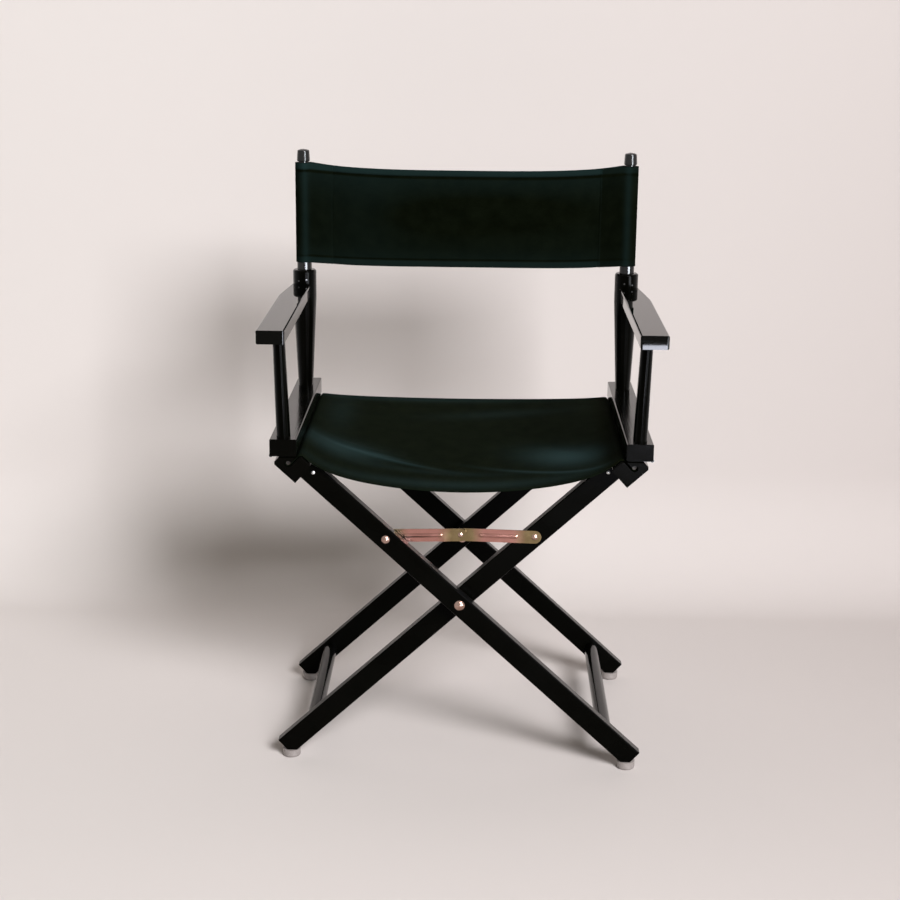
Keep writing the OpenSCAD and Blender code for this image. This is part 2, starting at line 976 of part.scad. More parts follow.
// The back canvas seen from above: two sleeves and the panel between them
module back_canvas_plan() {
  inner_r = stick_d / 2 + cloth_fit;
  outer_r = inner_r + back_cloth_t;
  reach = sleeve_w - outer_r;
  inner_reach = reach * inner_r / outer_r;
  half_t = back_cloth_t / 2;
  neck = [half_t / tan(asin(outer_r / reach)) - reach, half_t];
  outer = concat([neck], sleeve_arc(outer_r, reach), [[neck[0], -half_t]]);
  inner = concat([[-inner_reach, 0]], sleeve_arc(inner_r, inner_reach));
  difference() {
    polygon(concat(at_stick(outer, 1), at_stick(outer, -1)));
    polygon(at_stick(inner, 1));
    polygon(at_stick(inner, -1));
  }
}

// How far the back canvas's edge hangs at x: flat over the sticks, then down
function edge_sag(x, sag, span, power) =
  abs(x) >= span ? 0 : sag * (1 - pow(abs(x) / span, power));

// The back canvas seen from the front
module back_canvas_face() {
  span = rear_post_x - stick_d / 2;
  wide = rear_post_x + stick_d;
  steps = 24;
  xs = [for (i = [0:steps]) span * (2 * i / steps - 1)];
  polygon(concat(
    [[-wide, back_top]],
    [for (x = xs) [x, back_top - edge_sag(x, back_top_sag, span, 3.4)]],
    [[wide, back_top], [wide, back_bottom]],
    [for (i = [steps:-1:0]) [xs[i], back_bottom - edge_sag(xs[i], back_bottom_sag, span, 5)]],
    [[-wide, back_bottom]]
  ));
}

module back_canvas() {
  color(cloth)
    intersection() {
      translate([0, rear_post_y, back_bottom - back_bottom_sag - past])
        linear_extrude(height = back_cloth_h + back_bottom_sag + 2 * past)
          back_canvas_plan();
      translate([0, rear_post_y, 0])
        along_y(4 * stick_d)
          back_canvas_face();
    }
}

// The route of the seat canvas, seen from the front, from the left rod to the right
seat_edge_x = rail_corner_x - cloth_fit / sin(open_angle) - seat_cloth_t / 2;
seat_edge_z = seat_rail_top + cloth_fit + seat_cloth_t / 2;
bend_r = 1.5;
bend_from = mouth_x - (seat_edge_z - seat_rail_top) / tan(slot_angle) - bend_r * tan(slot_angle / 2);
seat_steps = 24;
seat_rows = 8;

// Share of the sag at s, from 0 in the middle to 1 at the rail
function seat_drop(s) = 1 - 0.65 * pow(s, 2) - 0.35 * pow(s, 8);

// Half of the route for a given sag, from beside the middle out to the rod
function half_route(sag) = concat(
  [for (i = [1:seat_steps / 2])
    let (s = 2 * i / seat_steps)
    [seat_edge_x * s, seat_edge_z - sag * seat_drop(s)]],
  [for (k = [0:3])
    let (a = 90 - slot_angle * k / 3)
    [bend_from + bend_r * cos(a), seat_edge_z - bend_r + bend_r * sin(a)]],
  [for (k = [0:7])
    let (a = 270 - slot_angle + 36 * k)
    [rod_x + wrap_r * cos(a), rod_z + wrap_r * sin(a)]]
);

function mirrored(route) = [for (i = [len(route) - 1:-1:0]) [-route[i][0], route[i][1]]];

function seat_route(sag) =
  concat(mirrored(half_route(sag)), [[0, seat_edge_z - sag]], half_route(sag));

// Unit direction of a route at point i
function route_dir(r, i) =
  let (a = r[max(i - 1, 0)], b = r[min(i + 1, len(r) - 1)], d = b - a)
  d / norm(d);

// The route moved sideways by off, to its left as it runs
function beside(r, off) =
  [for (i = [0:len(r) - 1])
    let (d = route_dir(r, i))
    [r[i][0] - off * d[1], r[i][1] + off * d[0]]];

// Sag of the row f, from 0 at the front edge to 1 at the rear edge
function row_sag(f) = front_sag + (rear_sag - front_sag) * f;

module seat_canvas() {
  routes = [for (k = [0:seat_rows]) seat_route(row_sag(k / seat_rows))];
  n = len(routes[0]);
  front = mid_y - seat_cloth_len / 2;
  rings = [for (k = [0:seat_rows])
    let (y = front + seat_cloth_len * k / seat_rows)
    concat(
      [for (p = beside(routes[k], seat_cloth_t / 2)) [p[0], y, p[1]]],
      [for (p = beside(routes[k], -seat_cloth_t / 2)) [p[0], y, p[1]]]
    )];
  points = [for (ring = rings) for (p = ring) p];
  w = 2 * n;
  quads = concat(
    [for (k = [0:seat_rows - 1]) for (i = [0:n - 2])
      [k * w + i, (k + 1) * w + i, (k + 1) * w + i + 1, k * w + i + 1]],
    [for (k = [0:seat_rows - 1]) for (i = [0:n - 2])
      [k * w + n + i, k * w + n + i + 1, (k + 1) * w + n + i + 1, (k + 1) * w + n + i]],
    [for (k = [0:seat_rows - 1])
      [k * w, k * w + n, (k + 1) * w + n, (k + 1) * w]],
    [for (k = [0:seat_rows - 1])
      [k * w + n - 1, (k + 1) * w + n - 1, (k + 1) * w + 2 * n - 1, k * w + 2 * n - 1]],
    [for (i = [0:n - 2]) [i, i + 1, n + i + 1, n + i]],
    [for (i = [0:n - 2])
      [seat_rows * w + i, seat_rows * w + n + i, seat_rows * w + n + i + 1, seat_rows * w + i + 1]]
  );
  triangles = [for (q = quads) for (t = [[q[0], q[1], q[2]], [q[0], q[2], q[3]]]) t];
  color(cloth)
    polyhedron(points = points, faces = triangles);
}

// Pivots and stays, drawn for the front pair: Y = 0 is the middle of the chair

// Faces of the crossing legs of the front pair
outer_face = -outer_leg_y - leg_t / 2;
gap_from = -outer_leg_y + leg_t / 2;
inner_face = -inner_leg_y + leg_t / 2;

// A turned ring with a hollow, the closed end of a rivet, from y0 towards +Y
module ring_end(y0) {
  difference() {
    y_cylinder(ring_d, y0, y0 + ring_t);
    y_cylinder(ring_hollow_d, y0 - past, y0 + ring_t + past);
  }
}

// A rivet through both crossing legs, its ring end on the inner face
module pivot_rivet() {
  translate([0, 0, pivot_h])
    union() {
      translate([0, outer_face, 0])
        y_dome(pivot_head_d, pivot_head_h);
      y_cylinder(pivot_d, outer_face - 0.5, inner_face + side_fit);
      difference() {
        y_cylinder(ring_d, inner_face + side_fit, inner_face + side_fit + ring_t);
        y_cylinder(ring_hollow_d, inner_face + side_fit + 0.6, inner_face + ring_t + past);
      }
    }
}

module pivot_rivets() {
  color(nickel)
    for (end = [-1, 1])
      at_end(end)
        pivot_rivet();
}

// Spacers on the pivot rivets in the gap between the legs
module pivot_spacers() {
  color(steel)
    for (end = [-1, 1])
      at_end(end)
        translate([0, 0, pivot_h])
          difference() {
            y_cylinder(spacer_d, gap_from, gap_from + leg_gap - 0.1);
            y_cylinder(pivot_d + 2 * seat_fit, gap_from - past, gap_from + leg_gap + past);
          }
}

// Outline of a link along X from its first rivet to its second, with round ends
module link_outline() {
  translate([0, -link_w / 2])
    square([link_len, link_w]);
  circle(d = link_w);
  translate([link_len, 0])
    circle(d = link_w);
}

// The pressed rib of a link, raised by rib_h to -Y
module link_rib() {
  from = rib_inset + rib_w / 2;
  to = link_len - rib_inset - rib_w / 2;
  rotate([90, 0, 0])
    linear_extrude(height = rib_h) {
      translate([from, -rib_w / 2])
        square([to - from, rib_w]);
      for (x = [from, to])
        translate([x, 0])
          circle(d = rib_w);
    }
}

// The holes of a link's two rivets
module link_holes() {
  for (x = [0, link_len])
    translate([x, 0, 0])
      y_cylinder(stay_pin_d + 2 * turn_fit, -leg_gap, leg_gap);
}

// The left link: it lies by the outer leg and steps over to the other at the middle
module left_link_body() {
  near = link_len - joggle_from;
  far = link_len - joggle_to;
  tip = link_len + link_w;
  difference() {
    intersection() {
      rotate([90, 0, 0])
        linear_extrude(height = 2 * leg_gap, center = true)
          link_outline();
      linear_extrude(height = link_w, center = true)
        polygon([
          [-link_w, 0],
          [far, 0],
          [near, link_joggle],
          [tip, link_joggle],
          [tip, link_joggle + link_t],
          [near, link_joggle + link_t],
          [far, link_t],
          [-link_w, link_t]
        ]);
    }
    link_holes();
  }
}

// The right link: flat, by the inner leg
module right_link_body() {
  difference() {
    translate([0, link_t, 0])
      rotate([90, 0, 0])
        linear_extrude(height = link_t)
          link_outline();
    link_holes();
  }
}

// Places a link's first rivet on the left leg, with the link's slope
module on_left_link() {
  translate([-stay_x, gap_from + link1_y, stay_z])
    rotate([0, -link_slope, 0])
      children();
}

// Places a link's first rivet in the middle of the stay, with the link's slope
module on_right_link() {
  translate([0, gap_from + link2_y, stay_mid_z])
    rotate([0, link_slope, 0])
      children();
}

module stay_left_link(end) {
  color(zinc)
    at_end(end)
      on_left_link()
        union() {
          left_link_body();
          link_rib();
        }
}

module stay_right_link(end) {
  color(zinc)
    at_end(end)
      on_right_link()
        union() {
          right_link_body();
          link_rib();
        }
}

// The rivets of the stays in the outer legs
module stay_outer_rivets() {
  tail_from = gap_from + link1_y + link_t + 0.1;
  color(nickel)
    for (end = [-1, 1])
      at_end(end)
        translate([-stay_x, 0, stay_z])
          union() {
            translate([0, outer_face, 0])
              y_dome(stay_head_d, stay_head_h);
            y_cylinder(stay_pin_d, outer_face - 0.5, tail_from + 0.5);
            y_cylinder(tail_d, tail_from, tail_from + tail_t);
          }
}

// The rivets of the stays in the inner legs, which end in open rings
module stay_inner_rivets() {
  head_y = gap_from + link2_y - 0.1;
  color(nickel)
    for (end = [-1, 1])
      at_end(end)
        translate([stay_x, 0, stay_z])
          union() {
            translate([0, head_y, 0])
              y_dome(end_head_d, end_head_h);
            y_cylinder(stay_pin_d, head_y - 0.3, inner_face + 0.6);
            difference() {
              y_cylinder(ring_d, inner_face, inner_face + ring_t);
              y_cylinder(ring_hollow_d, inner_face + 0.6, inner_face + ring_t + past);
            }
          }
}

// The head of a stay's middle rivet, in the left link
module stay_middle_head(end) {
  head_y = gap_from + link1_y + link_joggle;
  color(nickel)
    at_end(end)
      translate([0, 0, stay_mid_z])
        union() {
          translate([0, head_y, 0])
            y_dome(centre_head_d, centre_head_h);
          y_cylinder(stay_pin_d, head_y - 0.3, head_y + link_t);
        }
}

// The tail of a stay's middle rivet, in the right link
module stay_middle_tail(end) {
  link_y = gap_from + link2_y;
  color(nickel)
    at_end(end)
      translate([0, 0, stay_mid_z])
        union() {
          y_cylinder(stay_pin_d, link_y, link_y + link_t + 0.3);
          y_cylinder(centre_head_d, link_y + link_t, link_y + link_t + centre_tail_h);
        }
}

module leg_front_outer() {
  at_end(-1)
    outer_leg();
}

module leg_rear_outer() {
  at_end(1)
    outer_leg();
}

module leg_front_inner() {
  at_end(-1)
    inner_leg();
}

module leg_rear_inner() {
  at_end(1)
    inner_leg();
}

arm(-1);  // arm_left
arm(1);  // arm_right
front_post(-1);  // front_post_left
front_post(1);  // front_post_right
rear_post(-1);  // rear_post_left
rear_post(1);  // rear_post_right
base_rail(-1);  // base_rail_left
base_rail(1);  // base_rail_right
back_stick(-1);  // back_stick_left
back_stick(1);  // back_stick_right
back_canvas();
hinge_base_leaves(-1);  // hinge_base_leaves_left
hinge_base_leaves(1);  // hinge_base_leaves_right
hinge_rail_leaves(-1);  // hinge_rail_leaves_left
hinge_rail_leaves(1);  // hinge_rail_leaves_right
hinge_pins(-1);  // hinge_pins_left
hinge_pins(1);  // hinge_pins_right
base_screws(-1);  // base_screws_left
base_screws(1);  // base_screws_right
rail_screws(-1);  // rail_screws_left
rail_screws(1);  // rail_screws_right
arm_screw(-1);  // arm_screw_left
arm_screw(1);  // arm_screw_right
post_brads(-1);  // post_brads_left
post_brads(1);  // post_brads_right
leg_front_outer();
leg_rear_outer();
leg_front_inner();
leg_rear_inner();
leg_pins(-1, outer_leg_y);  // leg_pins_outer
leg_pins(1, inner_leg_y);  // leg_pins_inner
seat_rail(-1, outer_leg_y);  // seat_rail_left
seat_rail(1, inner_leg_y);  // seat_rail_right
stretcher(-1, outer_leg_y);  // stretcher_outer
stretcher(1, inner_leg_y);  // stretcher_inner
seat_rod(-1);  // seat_rod_left
seat_rod(1);  // seat_rod_right
seat_canvas();
glides(1, outer_leg_y);  // glides_outer
glides(-1, inner_leg_y);  // glides_inner
pivot_rivets();
pivot_spacers();
stay_left_link(-1);  // stay_front_left_link
stay_right_link(-1);  // stay_front_right_link
stay_left_link(1);  // stay_rear_left_link
stay_right_link(1);  // stay_rear_right_link
stay_outer_rivets();
stay_inner_rivets();
stay_middle_head(-1);  // stay_front_middle_head
stay_middle_tail(-1);  // stay_front_middle_tail
stay_middle_head(1);  // stay_rear_middle_head
stay_middle_tail(1);  // stay_rear_middle_tail
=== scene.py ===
import bpy
import bmesh
import math
from mathutils import Matrix, Vector


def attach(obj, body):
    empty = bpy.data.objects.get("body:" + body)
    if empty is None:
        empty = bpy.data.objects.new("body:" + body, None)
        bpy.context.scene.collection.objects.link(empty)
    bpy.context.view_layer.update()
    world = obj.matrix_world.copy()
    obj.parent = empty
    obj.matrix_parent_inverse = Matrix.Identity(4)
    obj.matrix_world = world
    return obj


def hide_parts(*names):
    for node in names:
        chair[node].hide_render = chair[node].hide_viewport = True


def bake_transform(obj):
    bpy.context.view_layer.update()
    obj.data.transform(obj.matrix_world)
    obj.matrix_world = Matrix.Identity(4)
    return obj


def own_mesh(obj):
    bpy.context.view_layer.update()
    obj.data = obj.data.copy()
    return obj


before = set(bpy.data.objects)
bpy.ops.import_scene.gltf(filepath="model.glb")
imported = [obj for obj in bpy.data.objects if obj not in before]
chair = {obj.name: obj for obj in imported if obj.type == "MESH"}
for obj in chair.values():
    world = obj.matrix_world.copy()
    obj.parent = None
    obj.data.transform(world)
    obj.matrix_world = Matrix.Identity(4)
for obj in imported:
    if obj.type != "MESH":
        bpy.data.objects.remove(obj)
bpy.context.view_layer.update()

MM = 0.001

# Places and sizes of the canvas, the same as in the chair's source, in millimetres
MIDDLE_Y = 28.0
LEG_SLOPE = math.radians(42.609)
ROD_X = 242.72
ROD_Z = 463.7
ROD_WRAP = 3.8
BEND_X = 227.24
BEND_ANGLE = 48.72
SEAT_EDGE_X = 222.7
SEAT_EDGE_Z = 474.8
SEAT_LENGTH = 385.0
SEAT_THICK = 0.9
FRONT_SAG = 50.0
REAR_SAG = 6.0
STICK_X = 249.25
STICK_Y = 163.5
STICK_RADIUS = 11.25
BACK_TOP = 849.5
BACK_BOTTOM = 697.5
BACK_THICK = 1.1
SEAM_X = 205.0
BACK_TOP_SAG = 9.5
BACK_BOTTOM_SAG = 6.0

# How the canvas is shaped and sewn, in millimetres
BEND_RADIUS = 1.5
BACK_HIGH = BACK_TOP - BACK_BOTTOM
BACK_TOP_CURVE = 3.4
BACK_BOTTOM_CURVE = 5
SEAT_ROWS = 110
SEAT_FRONT_HEM = 14.0
SEAT_REAR_HEM = 10.0
# Where the painted shade along the seat canvas's right edge begins
SEAT_SHADE_EDGE = 205.0
BACK_HEM = 9.4
BACK_GROOVE = 10.8
SLEEVE_TAIL = 9.0

# The stage, in metres
FLOOR_FRONT = -2.0
WALL_Y = 0.7
WALL_BEND = 0.22
WALL_TOP = 3.5
STAGE_SIDE = 1.5

# How the grain of a piece is turned
UPRIGHT = (0.0, 0.0, 0.0)
FRONT_TO_REAR = (math.pi / 2, 0.0, 0.0)
UP_TO_THE_RIGHT = (0.0, LEG_SLOPE - math.pi / 2, 0.0)
UP_TO_THE_LEFT = (0.0, math.pi / 2 - LEG_SLOPE, 0.0)


# Finishes

def group_socket(group, name, side, kind="NodeSocketFloat", value=None):
    """Adds one named input or output to a node group."""
    socket = group.interface.new_socket(name=name, in_out=side, socket_type=kind)
    if value is not None:
        socket.default_value = value
    return socket


def noise_on(nodes, links, place, scale, detail, roughness=0.5):
    """Soft noise at a place."""
    noise = nodes.new("ShaderNodeTexNoise")
    noise.inputs["Scale"].default_value = scale
    noise.inputs["Detail"].default_value = detail
    noise.inputs["Roughness"].default_value = roughness
    links.new(place, noise.inputs["Vector"])
    return noise.outputs["Fac"]


def worked_out(nodes, links, operation, *values):
    """What an operation makes of plain numbers and other nodes' outputs."""
    step = nodes.new("ShaderNodeMath")
    step.operation = operation
    for socket, value in zip(step.inputs, values):
        if isinstance(value, float):
            socket.default_value = value
        else:
            links.new(value, socket)
    return step.outputs[0]


def make_grain_group():
    """Long soft grain under paint: a height and a share for gloss and colour."""
    group = bpy.data.node_groups.new("planed wood grain", "ShaderNodeTree")
    group_socket(group, "Place", "INPUT", "NodeSocketVector")
    group_socket(group, "Pores", "INPUT", value=0.5)
    group_socket(group, "Height", "OUTPUT")
    group_socket(group, "Cloud", "OUTPUT")
    nodes, links = group.nodes, group.links
    come = nodes.new("NodeGroupInput")
    go = nodes.new("NodeGroupOutput")
    stretch = nodes.new("ShaderNodeVectorMath")
    stretch.operation = "MULTIPLY"
    stretch.inputs[1].default_value = (260.0, 260.0, 9.0)
    links.new(come.outputs["Place"], stretch.inputs[0])
    fine = noise_on(nodes, links, stretch.outputs[0], 1.0, 3.0)
    pores = number_between(nodes, links, fine, 0.0, 1.0, 0.35, 0.6)
    depth = worked_out(nodes, links, "MULTIPLY", pores, come.outputs["Pores"])
    links.new(depth, go.inputs["Height"])
    links.new(noise_on(nodes, links, come.outputs["Place"], 14.0, 4.0), go.inputs["Cloud"])
    return group


def make_weave_group():
    """Plain weave of a cotton canvas: a height, and a share for its colour."""
    group = bpy.data.node_groups.new("plain canvas weave", "ShaderNodeTree")
    group_socket(group, "Cloth place", "INPUT", "NodeSocketVector")
    group_socket(group, "Threads a metre", "INPUT", value=1500.0)
    group_socket(group, "Height", "OUTPUT")
    group_socket(group, "Tone", "OUTPUT")
    nodes, links = group.nodes, group.links
    come = nodes.new("NodeGroupInput")
    go = nodes.new("NodeGroupOutput")
    split = nodes.new("ShaderNodeSeparateXYZ")
    links.new(come.outputs["Cloth place"], split.inputs[0])
    threads = come.outputs["Threads a metre"]
    waves = []
    for axis in ("X", "Y"):
        count = worked_out(nodes, links, "MULTIPLY", split.outputs[axis], threads)
        turn = worked_out(nodes, links, "MULTIPLY", count, math.pi)
        waves.append(worked_out(nodes, links, "SINE", turn))
    links.new(worked_out(nodes, links, "MULTIPLY", *waves), go.inputs["Height"])
    links.new(noise_on(nodes, links, come.outputs["Cloth place"], 38.0, 5.0, 0.65), go.inputs["Tone"])
    return group


def new_finish(name):
    """A material with its shader, ready for nodes."""
    finish = bpy.data.materials.new(name)
    finish.use_nodes = True
    nodes, links = finish.node_tree.nodes, finish.node_tree.links
    return finish, nodes, links, nodes["Principled BSDF"]


def colour_between(nodes, links, share, dark, light):
    """A colour that runs from dark to light with share."""
    ramp = nodes.new("ShaderNodeMix")
    ramp.data_type = "RGBA"
    ramp.inputs["A"].default_value = (*dark, 1.0)
    ramp.inputs["B"].default_value = (*light, 1.0)
    links.new(share, ramp.inputs["Factor"])
    return ramp.outputs["Result"]


def number_between(nodes, links, share, low, high, start=0.3, end=0.7, way="LINEAR"):
    """A number that runs from low to high as share runs from start to end."""
    spread = nodes.new("ShaderNodeMapRange")
    spread.interpolation_type = way
    spread.inputs["From Min"].default_value = start
    spread.inputs["From Max"].default_value = end
    spread.inputs["To Min"].default_value = low
    spread.inputs["To Max"].default_value = high
    links.new(share, spread.inputs["Value"])
    return spread.outputs["Result"]


def bump_from(nodes, links, height, shader, strength, distance):
    """Feeds a height to the shader's normal."""
    bump = nodes.new("ShaderNodeBump")
    bump.inputs["Strength"].default_value = strength
    bump.inputs["Distance"].default_value = distance
    links.new(height, bump.inputs["Height"])
    links.new(bump.outputs["Normal"], shader.inputs["Normal"])


grain_group = make_grain_group()
weave_group = make_weave_group()


def grain_along(nodes, links, turn):
    """The wood's grain, turned to run along a piece."""
    place = nodes.new("ShaderNodeTexCoord")
    along = nodes.new("ShaderNodeMapping")
    along.inputs["Rotation"].default_value = turn
    links.new(place.outputs["Object"], along.inputs["Vector"])
    grain = nodes.new("ShaderNodeGroup")
    grain.node_tree = grain_group
    links.new(along.outputs["Vector"], grain.inputs["Place"])
    return grain


def black_paint(name, turn, polish=0.04, matt=(0.11, 0.19), relief=0.1):
    """Satin gloss black paint on wood whose grain runs along turn's third axis. Polish is
    the share of a plain varnish's mirror that is left where it is seen head on, matt is
    the range of its roughness, and relief is how much of the grain still shows."""
    finish, nodes, links, shader = new_finish(name)
    grain = grain_along(nodes, links, turn)
    grain.inputs["Pores"].default_value = 0.6
    cloud = grain.outputs["Cloud"]
    black = colour_between(nodes, links, cloud, (0.0006, 0.0006, 0.0003), (0.0014, 0.0014, 0.0009))
    links.new(black, shader.inputs["Base Color"])
    links.new(number_between(nodes, links, cloud, *matt), shader.inputs["Roughness"])
    shader.inputs["IOR"].default_value = 1.6
    shader.inputs["Specular Tint"].default_value = (polish, polish, polish, 1.0)
    bump_from(nodes, links, grain.outputs["Height"], shader, relief, 0.0003)
    return finish


def black_canvas(name, dark, light, sheen_paint, threads=1500.0):
    """Black cotton canvas, woven on the cloth's own UV map. Its painted sheen, a paler teal
    laid on where its folds and hems catch the light, follows the cloth's own sheen share value."""
    finish, nodes, links, shader = new_finish(name)
    cloth = nodes.new("ShaderNodeUVMap")
    cloth.uv_map = "cloth"
    weave = nodes.new("ShaderNodeGroup")
    weave.node_tree = weave_group
    weave.inputs["Threads a metre"].default_value = threads
    links.new(cloth.outputs["UV"], weave.inputs["Cloth place"])
    tone = number_between(nodes, links, weave.outputs["Tone"], 0.0, 1.0)
    plain = colour_between(nodes, links, tone, dark, light)
    # Painted sheen: the cloth's share value mixes in a paler teal that stands in for light on the
    # canvas
    sheen_share = nodes.new("ShaderNodeAttribute")
    sheen_share.attribute_name = "sheen_share"
    painted_sheen = nodes.new("ShaderNodeMix")
    painted_sheen.data_type = "RGBA"
    painted_sheen.inputs["B"].default_value = (*sheen_paint, 1.0)
    links.new(sheen_share.outputs["Fac"], painted_sheen.inputs["Factor"])
    links.new(plain, painted_sheen.inputs["A"])
    links.new(painted_sheen.outputs["Result"], shader.inputs["Base Color"])
    shader.inputs["Roughness"].default_value = 0.75
    shader.inputs["Specular IOR Level"].default_value = 0.004
    shader.inputs["Specular Tint"].default_value = (0.3, 0.45, 0.35, 1.0)
    bump_from(nodes, links, weave.outputs["Height"], shader, 0.5, 0.00018)
    return finish


def plated(name, dark, light, roughness, scale):
    """Plated metal whose colour drifts over the surface."""
    finish, nodes, links, shader = new_finish(name)
    place = nodes.new("ShaderNodeTexCoord")
    drift = noise_on(nodes, links, place.outputs["Object"], scale, 3.0)
    tone = number_between(nodes, links, drift, 0.0, 1.0)
    links.new(colour_between(nodes, links, tone, dark, light), shader.inputs["Base Color"])
    shader.inputs["Metallic"].default_value = 1.0
    gloss = number_between(nodes, links, drift, roughness - 0.06, roughness + 0.08)
    links.new(gloss, shader.inputs["Roughness"])
    return finish


def banded_zinc(name, olive, pink):
    """Yellow zinc that runs from olive at a stay's ends and middle to pink between them.
    The relief of each link's pressed rib is deepened along the rib's own line."""
    link_middle = 0.054
    rib_slope, rib_height = 0.0236, 0.3522
    finish, nodes, links, shader = new_finish(name)
    place = nodes.new("ShaderNodeTexCoord")
    cloud = noise_on(nodes, links, place.outputs["Object"], 90.0, 3.0)
    split = nodes.new("ShaderNodeSeparateXYZ")
    links.new(place.outputs["Object"], split.inputs[0])
    away = worked_out(nodes, links, "ABSOLUTE", split.outputs["X"])
    from_middle = worked_out(nodes, links, "SUBTRACT", away, link_middle)
    middle = worked_out(nodes, links, "ABSOLUTE", from_middle)
    ragged = worked_out(nodes, links, "MULTIPLY_ADD", cloud, 0.012, middle)
    share = number_between(nodes, links, ragged, 1.0, 0.0, 0.027, 0.045)
    links.new(colour_between(nodes, links, share, olive, pink), shader.inputs["Base Color"])
    shader.inputs["Metallic"].default_value = 1.0
    links.new(number_between(nodes, links, cloud, 0.12, 0.24), shader.inputs["Roughness"])
    line = worked_out(nodes, links, "MULTIPLY_ADD", away, rib_slope, split.outputs["Z"])
    above = worked_out(nodes, links, "SUBTRACT", line, rib_height)
    off = worked_out(nodes, links, "ABSOLUTE", above)
    across = number_between(nodes, links, off, 0.0, 1.0, 0.0036, 0.0, "SMOOTHERSTEP")
    length = number_between(nodes, links, middle, 0.0, 1.0, 0.029, 0.025, "SMOOTHERSTEP")
    rib = worked_out(nodes, links, "MULTIPLY", across, length)
    bump_from(nodes, links, rib, shader, 1.0, 0.0009)
    return finish


def pale_plastic(name):
    """Smooth pale glides, a little scuffed."""
    finish, nodes, links, shader = new_finish(name)
    place = nodes.new("ShaderNodeTexCoord")
    scuff = noise_on(nodes, links, place.outputs["Object"], 240.0, 4.0)
    pale = colour_between(nodes, links, scuff, (0.22, 0.195, 0.185), (0.34, 0.31, 0.3))
    links.new(pale, shader.inputs["Base Color"])
    links.new(number_between(nodes, links, scuff, 0.25, 0.45), shader.inputs["Roughness"])
    return finish


def bare_dowel(name):
    """Unpainted wood of the canvas rods, kept very dark as painted shade for the shade inside the
    rails' bores.
    """
    finish, nodes, links, shader = new_finish(name)
    height = grain_along(nodes, links, FRONT_TO_REAR).outputs["Height"]
    # Painted shade: both wood colours are deep browns, for the shade in the bores where the rod ends
    # sit
    wood = colour_between(nodes, links, height, (0.06, 0.042, 0.03), (0.035, 0.024, 0.017))
    links.new(wood, shader.inputs["Base Color"])
    shader.inputs["Roughness"].default_value = 0.6
    bump_from(nodes, links, height, shader, 0.3, 0.0003)
    return finish


LEG_POLISH, LEG_MATT = 0.02, (0.24, 0.36)

paint_up = black_paint("black paint, grain upright", UPRIGHT, 0.012)
paint_rear = black_paint("black paint, rear posts", UPRIGHT, 0.03)
paint_deep = black_paint("black paint, grain front to rear", FRONT_TO_REAR)
paint_arms = black_paint("black paint, polished armrests", FRONT_TO_REAR, 0.13, (0.012, 0.024), 0.001)
paint_knobs = black_paint("black paint, polished sticks", UPRIGHT, 0.8)
paint_right = black_paint("black paint, grain up to the right", UP_TO_THE_RIGHT, LEG_POLISH, LEG_MATT)
paint_left = black_paint("black paint, grain up to the left", UP_TO_THE_LEFT, LEG_POLISH, LEG_MATT)
# The third colour of each canvas is its painted sheen, laid on where the cloth catches the light
seat_cloth = black_canvas(
    "black canvas, seat",
    dark=(0.0022, 0.003, 0.0007),
    light=(0.0046, 0.0062, 0.0022),
    sheen_paint=(0.03, 0.06, 0.063),
)
back_cloth = black_canvas(
    "black canvas, back",
    dark=(0.0016, 0.0023, 0.0009),
    light=(0.0032, 0.0046, 0.0022),
    sheen_paint=(0.0125, 0.028, 0.028),
)
thread = black_canvas(
    "black thread",
    dark=(0.004, 0.007, 0.006),
    light=(0.008, 0.013, 0.012),
    sheen_paint=(0.01, 0.02, 0.02),
    threads=6000.0,
)
zinc = banded_zinc("yellow zinc", (0.19, 0.14, 0.07), (0.36, 0.175, 0.145))
nickel = plated("rivet plate", (0.34, 0.21, 0.16), (0.46, 0.32, 0.27), 0.18, 90.0)
steel = plated("plain steel", (0.5, 0.5, 0.5), (0.62, 0.61, 0.6), 0.32, 70.0)
dark_steel = plated("blackened steel", (0.06, 0.06, 0.062), (0.1, 0.1, 0.1), 0.3, 120.0)
glide_plastic = pale_plastic("glide plastic")
rod_wood = bare_dowel("bare rod wood")


def finish_of(name):
    """The finish that a node of the chair shows."""
    if name.startswith(("leg_front_outer", "leg_rear_outer")):
        return paint_left
    if name.startswith(("leg_front_inner", "leg_rear_inner")):
        return paint_right
    if name in ("arm_left", "arm_right"):
        return paint_arms
    if name.startswith("back_stick"):
        return paint_knobs
    if name.startswith(("base_rail", "seat_rail", "stretcher")):
        return paint_deep
    if name.startswith("rear_post"):
        return paint_rear
    if name.startswith("front_post"):
        return paint_up
    if "glides" in name:
        return glide_plastic
    if "rod" in name:
        return rod_wood
    if name.startswith("leg_pins"):
        return steel
    if "brads" in name or "hinge" in name or "screw" in name:
        return dark_steel
    if "link" in name:
        return zinc
    if "rivet" in name or "middle" in name:
        return nickel
    return steel


for name, part in chair.items():
    part.data.materials.clear()
    part.data.materials.append(finish_of(name))


# Canvas

def put_in_scene(name, mesh, finish, body):
    """Makes a finished mesh a piece of the chair that rides on a body."""
    piece = bpy.data.objects.new(name, mesh)
    bpy.context.scene.collection.objects.link(piece)
    mesh.materials.append(finish)
    for face in mesh.polygons:
        face.use_smooth = True
    if body:
        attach(piece, body)
    return piece


